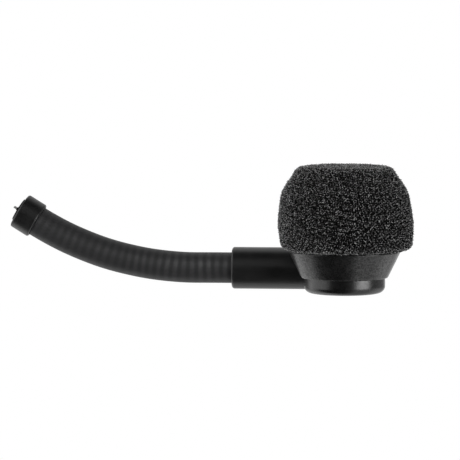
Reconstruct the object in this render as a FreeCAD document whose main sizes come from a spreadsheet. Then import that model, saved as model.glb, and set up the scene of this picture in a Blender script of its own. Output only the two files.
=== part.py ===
import FreeCAD, Part
import math
import os
import re

import Sketcher
from FreeCAD import Placement, Rotation, Vector

# Headset boom microphone: foam-covered noise-cancelling head on a gooseneck boom. Millimetres.
# +Z is the axis of the head, windscreen up. The boom lies on the +Y side of the head, leaves
# toward -X and bends up. The origin is the middle of the flat end face of the rear cap.

doc = FreeCAD.newDocument("headset_microphone")

# ---------------------------------------------------------------- driving dimensions
# alias, value, note
DIMENSIONS = [
    # shared allowances
    ("fit_gap", 0.02, "clearance between fitted parts"),
    ("overlap", 0.1, "extra length where a pad joins or a hole breaks through"),
    ("drill_over", 0.5, "distance above a face where its port holes start"),
    # rear cap
    ("cap_rad", 6.1, "outside radius of the rear cap"),
    ("cap_top", 2.3, "height of the cap rim"),
    ("cap_round", 1.1, "bottom edge radius"),
    ("cap_floor", 1.0, "floor thickness"),
    ("cap_inner", 4.5, "bore radius"),
    ("spigot_rad", 5.3, "screw spigot radius"),
    ("spigot_top", 3.0, "top of the spigot"),
    ("port_rad", 0.45, "rear sound port radius"),
    ("port_ring", 2.6, "radius of the ring of rear ports"),
    ("port_count", 6, "number of rear ports"),
    ("mesh_rad", 4.3, "rear acoustic mesh radius"),
    ("mesh_thick", 0.15, "rear acoustic mesh thickness"),
    ("oring_major", 5.58, "seal ring centre radius"),
    ("oring_minor", 0.24, "seal ring section radius"),
    ("oring_high", 2.56, "height of the seal ring"),
    # housing
    ("cone_low", 6.5, "cone radius at its lower edge"),
    ("cone_high", 8.5, "cone radius at its rim"),
    ("rim_high", 6.4, "height of the cone rim"),
    ("cone_edge", 0.25, "lower edge radius of the cone"),
    ("rim_edge", 0.18, "rim edge radius"),
    ("barrel_rad", 5.6, "capsule barrel radius"),
    ("barrel_bore", 5.15, "capsule barrel bore radius"),
    ("barrel_top", 12.4, "top of the barrel"),
    ("ledge_rad", 4.2, "opening in the capsule ledge"),
    ("ledge_high", 7.4, "height of the capsule ledge"),
    ("ledge_thick", 0.4, "capsule ledge thickness"),
    ("seal_rad", 5.85, "seal ring seat radius"),
    ("seal_high", 2.85, "seal ring seat height"),
    ("thread_rad", 5.35, "bore for the cap spigot"),
    ("thread_long", 0.25, "length of that bore"),
    ("hollow_top", 0.5, "top of the cone hollow, below the rim"),
    ("hollow_in", 1.2, "widest point of the hollow, inside the rim radius"),
    ("hollow_drop", 0.8, "widest point of the hollow, below the rim"),
    ("hollow_out", 0.05, "lower corner of the hollow, outside the seal seat"),
    ("hollow_rise", 0.35, "lower corner of the hollow, above the seal seat"),
    # boss that carries the sleeve
    ("boss_half", 3.6, "half width of the boss"),
    ("boss_low", 1.4, "underside of the boss"),
    ("boss_high", 4.5, "top of the boss"),
    ("boss_front", 6.6, "near face of the boss"),
    ("boss_back", 8.4, "far face of the boss"),
    ("web_low", 2.8, "underside of the web"),
    ("web_front", 6.3, "near face of the web"),
    ("wire_hole", 0.55, "wire passage radius"),
    ("wire_high", 3.75, "height of the wire passage"),
    ("wire_start", 4, "y where the wire passage starts"),
    ("wire_deep", 5, "wire passage length"),
    # sleeve
    ("boom_off", 9.4, "distance of the boom behind the head axis"),
    ("boom_high", 2.748, "height of the boom axis at the head"),
    ("sleeve_rad", 3.2, "sleeve outside radius"),
    ("sleeve_bore", 2.74, "sleeve bore radius"),
    ("sleeve_left", -17.71, "mouth of the sleeve"),
    ("sleeve_right", 4.6, "closed end of the sleeve"),
    ("sleeve_edge", 0.38, "outside edge radius at the mouth"),
    ("bore_edge", 0.05, "bore edge radius at the mouth"),
    ("seat_gap", 0.05, "gap between sleeve seat and housing"),
    ("seat_start", 5, "y where the boss cut starts"),
    ("seat_under", 0.3, "reach of the saddle cut below the cone"),
    ("plug_flange", 0.45, "thickness of the end plug flange"),
    ("plug_deep", 0.9, "depth of the end plug"),
    ("plug_edge", 0.35, "end plug edge radius"),
    # saddle screws
    ("screw_off", 2.6, "screw distance from the middle"),
    ("screw_rad", 0.6, "screw shank radius"),
    ("screw_head", 0.95, "screw head radius"),
    ("screw_seat", 12.35, "screw head seat"),
    ("screw_tip", 7.0, "screw tip"),
    ("screw_tall", 0.35, "screw head height"),
    ("screw_edge", 0.12, "screw head edge radius"),
    ("bevel_in", 0.2, "radial size of the tip bevel"),
    ("bevel_long", 0.25, "length of the tip bevel"),
    ("slot_reach", 0.6, "cross recess arm length"),
    ("slot_half", 0.11, "cross recess half width"),
    ("slot_deep", 0.22, "cross recess depth"),
    ("screw_gap", 0.05, "gap round the screws in the sleeve"),
    ("shank_start", 11, "y where the shank holes of the sleeve start"),
    ("shank_deep", 2.5, "length of the shank holes"),
    ("head_deep", 1, "length of the head holes"),
    # gooseneck
    ("arc_rad", 46.73, "bend radius of the gooseneck axis"),
    ("arc_start", -23.37, "where the bend begins"),
    ("pitch_len", 3.775, "distance between flex points"),
    ("flex_gap", 0.5, "gap at each flex point"),
    ("jacket_rad", 2.38, "jacket outside radius"),
    ("jacket_bore", 2.06, "jacket inside radius"),
    ("coil_mean", 1.6, "coil mean radius"),
    ("coil_wire", 0.29, "coil wire radius"),
    ("coil_pitch", 0.7, "coil pitch"),
    ("lead_rad", 0.25, "insulated lead radius"),
    ("lead_off", 0.4, "lead distance from the axis"),
    ("tail_len", 1.3, "jacket from half a pitch past the last flex point to the ferrule"),
    ("stub_in", 1.6, "jacket length inside the rear ferrule"),
    ("front_in", 3.0, "jacket length inside the sleeve"),
    # front bushing
    ("bush_rad", 2.72, "bushing outside radius"),
    ("bush_bore", 2.42, "bushing bore radius"),
    ("bush_long", 4.2, "bushing length"),
    ("bush_back", 0.15, "bushing set back from the mouth"),
    # rear ferrule
    ("ferrule_rad", 2.8, "ferrule outside radius"),
    ("ferrule_bore", 2.43, "ferrule bore over the jacket"),
    ("ferrule_deep", 1.75, "depth of that bore"),
    ("ferrule_long", 3.2, "ferrule length"),
    ("ferrule_hole", 1.0, "lead passage radius"),
    ("ferrule_edge", 0.3, "ferrule edge radius"),
    ("grommet_rad", 1.8, "grommet radius"),
    ("grommet_deep", 0.9, "grommet thickness inside the ferrule"),
    ("grommet_lip", 0.25, "grommet thickness outside the ferrule"),
    ("grommet_over", 1, "distance past the ferrule where the grommet holes start"),
    ("grommet_drill", 3, "length of the grommet holes"),
    ("lead_out", 0.5, "insulated lead length past the ferrule"),
    ("tip_out", 0.5, "bare tinned lead length"),
    ("tip_rad", 0.14, "tinned conductor radius"),
    # windscreen
    ("foam_low", 6.45, "underside of the windscreen"),
    ("foam_bore", 5.7, "cavity radius"),
    ("foam_cavity", 14.6, "top of the cavity"),
    ("foam_in", 1.1, "radial size of the cavity bevel"),
    ("foam_drop", 0.8, "height of the cavity bevel"),
    ("foam_top", 19.2, "top of the windscreen"),
    ("ring_rad", 7.6, "retaining ring outside radius"),
    ("ring_bore", 5.66, "retaining ring bore radius"),
    ("ring_thick", 0.8, "retaining ring thickness"),
    # capsule
    ("can_rad", 4.85, "capsule can radius"),
    ("can_bore", 4.6, "capsule can bore"),
    ("can_low", 7.8, "bottom of the can"),
    ("can_top", 12.3, "top of the can"),
    ("can_face", 12.05, "underside of the can face"),
    ("can_lip", 4.25, "crimped lip radius"),
    ("can_edge", 0.15, "top edge radius of the can"),
    ("lip_thick", 0.2, "crimped lip thickness"),
    ("can_port", 0.35, "front port radius"),
    ("can_ring", 2.4, "radius of the ring of front ports"),
    ("can_ports", 6, "number of front ports in the ring"),
    ("can_drill", 1.5, "depth of the front port cut"),
    ("boot_rad", 5.13, "boot outside radius"),
    ("boot_bore", 4.87, "boot bore radius"),
    ("boot_hole", 3.6, "boot floor opening"),
    ("boot_top", 12.0, "boot top"),
    ("board_rad", 4.55, "capsule board radius"),
    ("board_low", 8.0, "capsule board underside"),
    ("board_top", 8.8, "capsule board top"),
    ("holder_bore", 3.7, "holder bore"),
    ("plate_low", 11.3, "backplate underside"),
    ("plate_top", 11.6, "backplate top"),
    ("plate_rad", 4.4, "backplate radius"),
    ("plate_hole", 0.3, "backplate hole radius"),
    ("plate_ring", 2.1, "radius of the ring of backplate holes"),
    ("plate_holes", 6, "number of backplate holes"),
    ("spacer_top", 11.7, "spacer top"),
    ("ringin_rad", 4.1, "spacer and tension ring bore"),
    ("ringout_rad", 4.5, "spacer and tension ring outside"),
    ("film_top", 11.75, "diaphragm top"),
    ("fet_half_long", 1.0, "transistor half length"),
    ("fet_half_wide", 0.65, "transistor half width"),
    ("fet_tall", 1.0, "transistor height"),
    # grille
    ("grille_thick", 0.3, "grille thickness"),
    ("grille_top", 13.2, "top of the grille"),
    ("grille_skirt", 5.3, "grille skirt bore"),
    ("grille_edge", 0.2, "grille edge radius"),
    ("grille_hole", 0.42, "grille hole radius"),
    ("grille_inner", 1.7, "inner ring of grille holes"),
    ("grille_outer", 3.5, "outer ring of grille holes"),
    ("grille_six", 6, "holes in the inner ring"),
    ("grille_twelve", 12, "holes in the outer ring"),
    ("grille_drill", 2, "depth of the grille hole cut"),
    ("cloth_rad", 5.25, "damping cloth radius"),
    ("cloth_thick", 0.25, "damping cloth thickness"),
]

# Outside of the windscreen from its underside to near the top: radius, height.
FOAM_PROFILE = [
    (9.0, 6.45), (9.72, 6.8), (10.02, 7.3), (10.2, 8.3), (10.26, 10.0),
    (10.18, 11.1), (9.96, 12.7), (9.68, 14.3), (9.38, 15.45), (8.83, 16.35),
    (8.02, 17.5), (7.41, 18.35), (6.56, 18.9), (3.5, 19.12),
]
FOAM_LETTERS = "abcdefghijklmn"
for letter, (radius, height) in zip(FOAM_LETTERS, FOAM_PROFILE):
    DIMENSIONS.append(("foamrad_" + letter, radius, "windscreen profile radius"))
    DIMENSIONS.append(("foamhigh_" + letter, height, "windscreen profile height"))

sheet = doc.addObject("Spreadsheet::Sheet", "Dims")
for row, (alias, value, note) in enumerate(DIMENSIONS, 1):
    sheet.set("A%d" % row, alias)
    sheet.set("B%d" % row, str(value))
    sheet.setAlias("B%d" % row, alias)
    sheet.set("C%d" % row, note)
doc.recompute()


# ---------------------------------------------------------------- sums of dimensions
# Sizes are passed as numbers or as text such as "cap_floor + mesh_thick".
TERM = re.compile(r"([+-]?)\s*([A-Za-z_][A-Za-z_0-9]*|[0-9.]+)")
ALIAS = re.compile(r"[A-Za-z_][A-Za-z_0-9]*")


def val(size):
    """Present value of a size."""
    if not isinstance(size, str):
        return float(size)
    total = 0.0
    for sign, word in TERM.findall(size):
        value = float(word) if word[0] in "0123456789." else float(sheet.get(word))
        total += -value if sign == "-" else value
    return total


def expr(size):
    """FreeCAD expression of a size."""
    if not isinstance(size, str):
        return str(size)
    return ALIAS.sub(lambda match: "Dims." + match.group(0), size)


# ---------------------------------------------------------------- sketches
def bind(sketch, constraint, size):
    index = sketch.addConstraint(constraint)
    sketch.setExpression("Constraints[%d]" % index, expr(size))


def fix_point(sketch, geo, pos, across, up):
    """Dimension a point from the sketch origin, or put it on the axis where a size is zero."""
    for kind, size, axis in (("DistanceX", across, -2), ("DistanceY", up, -1)):
        value = val(size)
        if abs(value) < 1e-9:
            sketch.addConstraint(Sketcher.Constraint("PointOnObject", geo, pos, axis))
        else:
            bind(sketch, Sketcher.Constraint(kind, -1, 1, geo, pos, value), size)


def outline(points):
    """Drawing of a closed polygon."""
    def draw(sketch):
        first = sketch.GeometryCount
        count = len(points)
        corners = [Vector(val(across), val(up), 0) for across, up in points]
        for k in range(count):
            sketch.addGeometry(Part.LineSegment(corners[k], corners[(k + 1) % count]), False)
        for k in range(count):
            following = first + (k + 1) % count
            sketch.addConstraint(Sketcher.Constraint("Coincident", first + k, 2, following, 1))
        for k, (across, up) in enumerate(points):
            fix_point(sketch, first + k, 1, across, up)
    return draw


def rectangle(left, right, low, high):
    return outline([(left, low), (right, low), (right, high), (left, high)])


def circles(*rounds):
    """Drawing of circles, each given as across, up, radius."""
    def draw(sketch):
        for across, up, radius in rounds:
            centre = Vector(val(across), val(up), 0)
            curve = Part.Circle(centre, Vector(0, 0, 1), val(radius))
            geo = sketch.addGeometry(curve, False)
            if centre.Length < 1e-9:
                sketch.addConstraint(Sketcher.Constraint("Coincident", geo, 3, -1, 1))
            else:
                fix_point(sketch, geo, 3, across, up)
            bind(sketch, Sketcher.Constraint("Radius", geo, val(radius)), radius)
    return draw


# ---------------------------------------------------------------- bodies and features
def origin_feature(body, role):
    for feature in body.Origin.OriginFeatures:
        if feature.Role == role:
            return feature
    raise RuntimeError(role)


def new_body(label, place=None):
    body = doc.addObject("PartDesign::Body", label)
    body.Label = label
    body.AllowCompound = True
    if place is not None:
        body.Placement = place
    return body


def new_sketch(body, draw, role, offset=None):
    """Sketch on an origin plane. The normal of XZ_Plane is -Y, so offset -5 lies at y = 5."""
    sketch = body.newObject("Sketcher::SketchObject", body.Name + "_sketch")
    sketch.AttachmentSupport = [(origin_feature(body, role), "")]
    sketch.MapMode = "FlatFace"
    if offset is not None:
        sketch.setExpression("AttachmentOffset.Base.z", expr(offset))
    draw(sketch)
    return sketch


def check_cut(body, volume):
    if abs(body.Shape.Volume - volume) < 1e-6:
        raise RuntimeError("cut removed nothing: " + body.Tip.Name)


def revolve(body, draw, degrees=360.0, kind="Revolution"):
    """Turn a drawing on the XZ plane about the Z axis of the body."""
    sketch = new_sketch(body, draw, "XZ_Plane")
    feature = body.newObject("PartDesign::" + kind, body.Name + "_" + kind.lower())
    feature.Profile = sketch
    feature.ReferenceAxis = (sketch, ["V_Axis"])
    feature.Angle = degrees
    doc.recompute()


def groove(body, draw):
    volume = body.Shape.Volume
    revolve(body, draw, kind="Groove")
    check_cut(body, volume)


def pad(body, draw, length, role="XY_Plane", offset=None, kind="Pad"):
    """Extrude a drawing along the normal of its plane."""
    sketch = new_sketch(body, draw, role, offset)
    feature = body.newObject("PartDesign::" + kind, body.Name + "_" + kind.lower())
    feature.Profile = sketch
    feature.setExpression("Length", expr(length))
    doc.recompute()
    return feature


def pocket(body, draw, depth, role="XY_Plane", offset=None):
    """Cut a drawing against the normal of its plane."""
    volume = body.Shape.Volume
    feature = pad(body, draw, depth, role, offset, kind="Pocket")
    check_cut(body, volume)
    return feature


def hole_ring(body, ring, radius, depth, start, count):
    """Ring of holes along -Z, starting at height start."""
    hole = pocket(body, circles((ring, 0, radius)), depth, offset=start)
    pattern = body.newObject("PartDesign::PolarPattern", body.Name + "_polar")
    pattern.Originals = [hole]
    pattern.Axis = (origin_feature(body, "Z_Axis"), [""])
    pattern.Angle = 360.0
    pattern.setExpression("Occurrences", expr(count))
    body.Tip = pattern
    doc.recompute()


def fillet(body, edge_rad, station, radius, axis="z"):
    """Round the circular edges of one radius at one station along an axis of the body."""
    to_body = body.Placement.inverse()
    names = []
    for k, edge in enumerate(body.Shape.Edges, 1):
        curve = edge.Curve
        if not isinstance(curve, Part.Circle) or abs(curve.Radius - val(edge_rad)) >= 1e-3:
            continue
        if abs(getattr(to_body.multVec(curve.Center), axis) - val(station)) < 1e-3:
            names.append("Edge%d" % k)
    if not names:
        raise RuntimeError("no edge found on " + body.Label)
    tip = body.Tip
    feature = body.newObject("PartDesign::Fillet", body.Name + "_fillet")
    feature.Base = (tip, names)
    feature.setExpression("Radius", expr(radius))
    doc.recompute()


def turned(label, points, place=None):
    """Piece turned from a polygon of radius, height."""
    body = new_body(label, place)
    revolve(body, outline(points))
    return body


def ring(label, inner, outer, low, high, place=None):
    """Plain ring, or a disc where inner is 0."""
    body = new_body(label, place)
    revolve(body, rectangle(inner, outer, low, high))
    return body


def extruded(label, place, length, draw, offset=None):
    body = new_body(label, place)
    pad(body, draw, length, offset=offset)
    return body


def compound(label, links):
    group = doc.addObject("Part::Compound", label)
    group.Label = label
    group.Links = links
    return group


# ---------------------------------------------------------------- rear cap
def rear_cap():
    body = turned("rear_cap", [
        (0, 0), ("cap_rad", 0), ("cap_rad", "cap_top"), ("spigot_rad", "cap_top"),
        ("spigot_rad", "spigot_top"), ("cap_inner", "spigot_top"),
        ("cap_inner", "cap_floor"), (0, "cap_floor")])
    fillet(body, "cap_rad", 0, "cap_round")
    hole_ring(body, "port_ring", "port_rad", "cap_floor + drill_over + drill_over",
              "cap_floor + drill_over", "port_count")
    return body


def cap_seal_ring():
    body = new_body("cap_seal_ring")
    revolve(body, circles(("oring_major", "oring_high", "oring_minor")))
    return body


# ---------------------------------------------------------------- housing
def screw_circles(radius):
    return circles(("-screw_off", "boom_high", radius), ("screw_off", "boom_high", radius))


def head_housing():
    body = turned("head_housing", [
        ("seal_rad", "cap_top"), ("cone_low", "cap_top"), ("cone_high", "rim_high"),
        ("barrel_rad", "rim_high"), ("barrel_rad", "barrel_top"),
        ("barrel_bore", "barrel_top"), ("barrel_bore", "ledge_high"),
        ("ledge_rad", "ledge_high"), ("ledge_rad", "ledge_high - ledge_thick"),
        ("barrel_bore", "ledge_high - ledge_thick"), ("barrel_bore", "rim_high - hollow_top"),
        ("cone_high - hollow_in", "rim_high - hollow_drop"),
        ("seal_rad + hollow_out", "seal_high + hollow_rise"),
        ("thread_rad", "seal_high + thread_long"), ("thread_rad", "seal_high"),
        ("seal_rad", "seal_high")])
    fillet(body, "cone_low", "cap_top", "cone_edge")
    fillet(body, "cone_high", "rim_high", "rim_edge")
    # boss, then the web that joins it to the cone
    pad(body, rectangle("-boss_half", "boss_half", "boss_low", "boss_high"),
        "boss_back - boss_front", "XZ_Plane", "-boss_back")
    pad(body, rectangle("-boss_half", "boss_half", "web_low", "boss_high"),
        "boss_front - web_front + overlap", "XZ_Plane", "-boss_front - overlap")
    pocket(body, circles((0, "wire_high", "wire_hole")), "wire_deep", "XZ_Plane", "-wire_start")
    pocket(body, screw_circles("screw_rad + fit_gap"),
           "boss_back - screw_tip + overlap + overlap", "XZ_Plane", "-screw_tip + overlap")
    return body


# ---------------------------------------------------------------- grille
def front_grille():
    body = turned("front_grille", [
        (0, "grille_top - grille_thick"), ("grille_skirt", "grille_top - grille_thick"),
        ("grille_skirt", "barrel_top"), ("barrel_rad", "barrel_top"),
        ("barrel_rad", "grille_top"), (0, "grille_top")])
    fillet(body, "barrel_rad", "grille_top", "grille_edge")
    start = "grille_top + drill_over"
    pocket(body, circles((0, 0, "grille_hole")), "grille_drill", offset=start)
    for ring_rad, count in (("grille_inner", "grille_six"), ("grille_outer", "grille_twelve")):
        hole_ring(body, ring_rad, "grille_hole", "grille_drill", start, count)
    return body


# ---------------------------------------------------------------- capsule
def capsule_boot():
    return turned("capsule_boot", [
        ("boot_hole", "ledge_high"), ("boot_rad", "ledge_high"), ("boot_rad", "boot_top"),
        ("boot_bore", "boot_top"), ("boot_bore", "can_low"), ("boot_hole", "can_low")])


def capsule_can():
    body = turned("capsule_can", [
        (0, "can_face"), ("can_bore", "can_face"), ("can_bore", "can_low + lip_thick"),
        ("can_lip", "can_low + lip_thick"), ("can_lip", "can_low"), ("can_rad", "can_low"),
        ("can_rad", "can_top"), (0, "can_top")])
    fillet(body, "can_rad", "can_top", "can_edge")
    hole_ring(body, "can_ring", "can_port", "can_drill", "can_top + drill_over", "can_ports")
    return body


def backplate():
    body = ring("backplate", 0, "plate_rad", "plate_low", "plate_top")
    hole_ring(body, "plate_ring", "plate_hole",
              "plate_top - plate_low + drill_over + drill_over",
              "plate_top + drill_over", "plate_holes")
    return body


def transistor():
    draw = rectangle("-fet_half_long", "fet_half_long", "-fet_half_wide", "fet_half_wide")
    return extruded("transistor", None, "fet_tall", draw, "board_top")


# ---------------------------------------------------------------- plain rings and discs
# label, inner radius, outer radius, low, high
PLAIN_RINGS = [
    ("rear_port_mesh", 0, "mesh_rad", "cap_floor", "cap_floor + mesh_thick"),
    ("damping_cloth", 0, "cloth_rad",
     "grille_top - grille_thick - cloth_thick", "grille_top - grille_thick"),
    ("tension_ring", "ringin_rad", "ringout_rad", "film_top", "can_face"),
    ("diaphragm", 0, "ringout_rad", "spacer_top", "film_top"),
    ("spacer_ring", "ringin_rad", "ringout_rad", "plate_top", "spacer_top"),
    ("backplate_holder", "holder_bore", "board_rad", "board_top", "plate_low"),
    ("capsule_board", 0, "board_rad", "board_low", "board_top"),
    ("windscreen_ring", "ring_bore", "ring_rad", "foam_low", "foam_low + ring_thick"),
]


# ---------------------------------------------------------------- windscreen
def windscreen_foam():
    profile = [("foamrad_" + letter, "foamhigh_" + letter) for letter in FOAM_LETTERS]
    seat_rad = "ring_rad + fit_gap"
    seat_top = "foam_low + ring_thick + fit_gap"
    return turned("windscreen_foam", [(seat_rad, "foam_low")] + profile + [
        (0, "foam_top"), (0, "foam_cavity"), ("foam_bore - foam_in", "foam_cavity"),
        ("foam_bore", "foam_cavity - foam_drop"), ("foam_bore", seat_top),
        (seat_rad, seat_top)])


# ---------------------------------------------------------------- sleeve
BOOM_Y = val("boom_off")
BOOM_Z = val("boom_high")


def on_line(x):
    """Frame on the straight boom axis, its z along +X."""
    return Placement(Vector(x, BOOM_Y, BOOM_Z), Rotation(Vector(0, 1, 0), 90))


def boom_sleeve():
    body = new_body("boom_sleeve")
    pad(body, circles(("boom_off", "boom_high", "sleeve_rad"),
                      ("boom_off", "boom_high", "sleeve_bore")),
        "sleeve_right - sleeve_left", "YZ_Plane", "sleeve_left")
    fillet(body, "sleeve_rad", "sleeve_left", "sleeve_edge", axis="x")
    fillet(body, "sleeve_bore", "sleeve_left", "bore_edge", axis="x")
    # seat on the boss, then on the cone
    pocket(body, rectangle("-boss_half - seat_gap", "boss_half + seat_gap",
                           "boss_low - seat_gap", "boss_high + seat_gap"),
           "boss_back + seat_gap - seat_start", "XZ_Plane", "-seat_start")
    groove(body, outline([
        (0, "cap_top - seat_under"), ("cone_low + seat_gap", "cap_top - seat_under"),
        ("cone_low + seat_gap", "cap_top"), ("cone_high + seat_gap", "rim_high"),
        (0, "rim_high")]))
    pocket(body, screw_circles("screw_rad + screw_gap"), "shank_deep", "XZ_Plane",
           "-shank_start")
    pocket(body, screw_circles("screw_head + screw_gap"), "head_deep", "XZ_Plane",
           "-screw_seat")
    return body


def sleeve_end_plug():
    body = turned("sleeve_end_plug", [
        (0, "-plug_deep"), ("sleeve_bore - fit_gap", "-plug_deep"),
        ("sleeve_bore - fit_gap", 0), ("sleeve_rad", 0), ("sleeve_rad", "plug_flange"),
        (0, "plug_flange")], on_line(val("sleeve_right")))
    fillet(body, "sleeve_rad", "plug_flange", "plug_edge")
    return body


def saddle_screw(label, x):
    """Screw along +Y, its head at the far end, with a cross recess."""
    place = Placement(Vector(x, 0, BOOM_Z), Rotation(Vector(1, 0, 0), -90))
    head_top = "screw_seat + screw_tall"
    body = turned(label, [
        (0, "screw_tip"), ("screw_rad - bevel_in", "screw_tip"),
        ("screw_rad", "screw_tip + bevel_long"), ("screw_rad", "screw_seat"),
        ("screw_head", "screw_seat"), ("screw_head", head_top), (0, head_top)], place)
    fillet(body, "screw_head", head_top, "screw_edge")
    pocket(body, outline([
        ("-slot_reach", "-slot_half"), ("-slot_half", "-slot_half"),
        ("-slot_half", "-slot_reach"), ("slot_half", "-slot_reach"),
        ("slot_half", "-slot_half"), ("slot_reach", "-slot_half"),
        ("slot_reach", "slot_half"), ("slot_half", "slot_half"),
        ("slot_half", "slot_reach"), ("-slot_half", "slot_reach"),
        ("-slot_half", "slot_half"), ("-slot_reach", "slot_half")]),
        "slot_deep", offset=head_top)
    return body


def saddle_screws():
    return compound("saddle_screws", [
        saddle_screw("saddle_screw_a", -val("screw_off")),
        saddle_screw("saddle_screw_b", val("screw_off"))])


def neck_bushing():
    return ring("neck_bushing", "bush_bore", "bush_rad", "bush_back", "bush_back + bush_long",
                on_line(val("sleeve_left")))


# ---------------------------------------------------------------- gooseneck
BEND_RAD = val("arc_rad")
BEND_X = val("arc_start")
BEND_CENTRE = Vector(BEND_X, BOOM_Y, BOOM_Z + BEND_RAD)
PITCH = val("pitch_len")
HALF_GAP = 0.5 * val("flex_gap")
LINK_LENGTH = "pitch_len - flex_gap"
BENT_LINKS = 6
# the mouth of the rear ferrule, as a bend angle in radians
END_ANGLE = ((BENT_LINKS + 0.5) * PITCH + val("tail_len")) / BEND_RAD


def on_bend(angle):
    """Frame on the bent axis, its z along the axis toward the rear."""
    position = BEND_CENTRE - Vector(math.sin(angle), 0, math.cos(angle)) * BEND_RAD
    return Placement(position, Rotation(Vector(0, 1, 0), math.degrees(angle) - 90))


def at_bend_centre(angle):
    """Frame at the bend centre: x toward the boom axis, y along it to the rear, z is +Y."""
    sine, cosine = math.sin(angle), math.cos(angle)
    turn = Rotation(Vector(-sine, 0, -cosine), Vector(-cosine, 0, sine), Vector(0, 1, 0), "XYZ")
    return Placement(BEND_CENTRE, turn)


def jacket_section(across):
    return circles((across, 0, "jacket_rad"), (across, 0, "jacket_bore"))


def lead_section(across, radius="lead_rad"):
    return circles((across, "lead_off", radius), (across, "-lead_off", radius))


def coil(label, length, frame_at):
    """Turns of the wound coil as closed rings; frame_at gives the frame at a distance."""
    inset = val("coil_wire + fit_gap")
    run = length - 2 * inset
    gaps = int(round(run / val("coil_pitch")))
    turns = []
    for i in range(gaps + 1):
        torus = doc.addObject("Part::Torus", label + "_turn")
        torus.setExpression("Radius1", expr("coil_mean"))
        torus.setExpression("Radius2", expr("coil_wire"))
        torus.Placement = frame_at(inset + run * i / gaps)
        turns.append(torus)
    group = compound(label, turns)
    doc.recompute()
    return group


def bent_solid(label, angle, length, draw):
    body = new_body(label, at_bend_centre(angle))
    revolve(body, draw, math.degrees(length / BEND_RAD))
    return body


def bent_neck(suffix, start, length):
    """Jacket, coil and leads from a distance start along the bend."""
    angle = start / BEND_RAD
    return [
        bent_solid("neck_jacket_" + suffix, angle, length, jacket_section("arc_rad")),
        coil("neck_coil_" + suffix, length, lambda along: on_bend(angle + along / BEND_RAD)),
        bent_solid("neck_leads_" + suffix, angle, length, lead_section("arc_rad")),
    ]


def straight_neck(suffix, x, length):
    """Jacket, coil and leads from x toward +X."""
    place = on_line(x)
    return [
        extruded("neck_jacket_" + suffix, place, length, jacket_section(0)),
        coil("neck_coil_" + suffix, val(length), lambda along: on_line(x + along)),
        extruded("neck_leads_" + suffix, place, length, lead_section(0)),
    ]


def gooseneck():
    """Links 1 (rearmost) to 6 on the bend, link 7 straight, and the two fixed ends."""
    parts = []
    for k in range(1, BENT_LINKS + 1):
        parts += bent_neck(str(k), (BENT_LINKS - k) * PITCH + HALF_GAP, val(LINK_LENGTH))
    parts += straight_neck("7", BEND_X + HALF_GAP, LINK_LENGTH)
    front_x = BEND_X + PITCH + HALF_GAP
    parts += straight_neck("front", front_x, val("sleeve_left + front_in") - front_x)
    parts += bent_neck("rear", BENT_LINKS * PITCH + HALF_GAP,
                       0.5 * PITCH - HALF_GAP + val("tail_len + stub_in"))
    return parts


# ---------------------------------------------------------------- rear ferrule
END_PLACE = on_bend(END_ANGLE)


def rear_ferrule():
    body = turned("rear_ferrule", [
        ("ferrule_bore", 0), ("ferrule_rad", 0), ("ferrule_rad", "ferrule_long"),
        ("grommet_rad + fit_gap", "ferrule_long"),
        ("grommet_rad + fit_gap", "ferrule_long - grommet_deep"),
        ("ferrule_hole", "ferrule_long - grommet_deep"), ("ferrule_hole", "ferrule_deep"),
        ("ferrule_bore", "ferrule_deep")], END_PLACE)
    fillet(body, "ferrule_rad", 0, "ferrule_edge")
    fillet(body, "ferrule_rad", "ferrule_long", "ferrule_edge")
    return body


def lead_grommet():
    body = ring("lead_grommet", 0, "grommet_rad", "ferrule_long - grommet_deep",
                "ferrule_long + grommet_lip", END_PLACE)
    pocket(body, lead_section(0, "lead_rad + fit_gap"), "grommet_drill",
           offset="ferrule_long + grommet_over")
    return body


def output_leads():
    return extruded("output_leads", END_PLACE, "ferrule_long + lead_out - ferrule_deep",
                    lead_section(0), "ferrule_deep")


def tinned_tips():
    return extruded("tinned_tips", END_PLACE, "tip_out", lead_section(0, "tip_rad"),
                    "ferrule_long + lead_out")


# ---------------------------------------------------------------- wiring in the head
WIRE_Z = val("wire_high")
HEAD_LEAD_RAD = 0.9 * val("lead_rad")

# From the capsule board to the wire passage: distance to either side of x = 0, y, z.
LEAD_DROP = [
    (1.2, 0.4, 8.0), (1.2, 0.4, 7.2), (1.1, 1.2, 5.6), (0.6, 3.4, 4.2),
    (0.28, 5.4, WIRE_Z), (0.28, 6.8, WIRE_Z),
]
# Out of the wire passage and round toward -X, for the lead on each side: x, y, z.
LEAD_TURNS = {
    -1: [(-0.28, 8.1, WIRE_Z), (-1.3, 8.95, WIRE_Z + 0.05), (-3.4, 9.05, WIRE_Z + 0.1)],
    1: [(0.28, 8.3, WIRE_Z), (-0.5, 9.65, WIRE_Z + 0.05), (-3.4, 9.85, WIRE_Z + 0.1)],
}
# Along the sleeve to the gooseneck leads: x, z.
LEAD_RUN = [
    (-6.0, 3.3), (-8.5, BOOM_Z), (-10.5, BOOM_Z),
    (val("sleeve_left + front_in + fit_gap"), BOOM_Z),
]


def head_lead(side):
    points = [Vector(side * x, y, z) for x, y, z in LEAD_DROP]
    points += [Vector(*point) for point in LEAD_TURNS[side]]
    points += [Vector(x, BOOM_Y + side * val("lead_off"), z) for x, z in LEAD_RUN]
    curve = Part.BSplineCurve()
    curve.interpolate(points)
    tangent = curve.tangent(curve.FirstParameter)[0]
    section = Part.Wire([Part.makeCircle(HEAD_LEAD_RAD, points[0], tangent)])
    return Part.Wire([curve.toShape()]).makePipeShell([section], True, True)


def head_leads():
    feature = doc.addObject("Part::Feature", "head_leads")
    feature.Label = "head_leads"
    feature.Shape = Part.Compound([head_lead(-1), head_lead(1)])
    return feature


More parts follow.
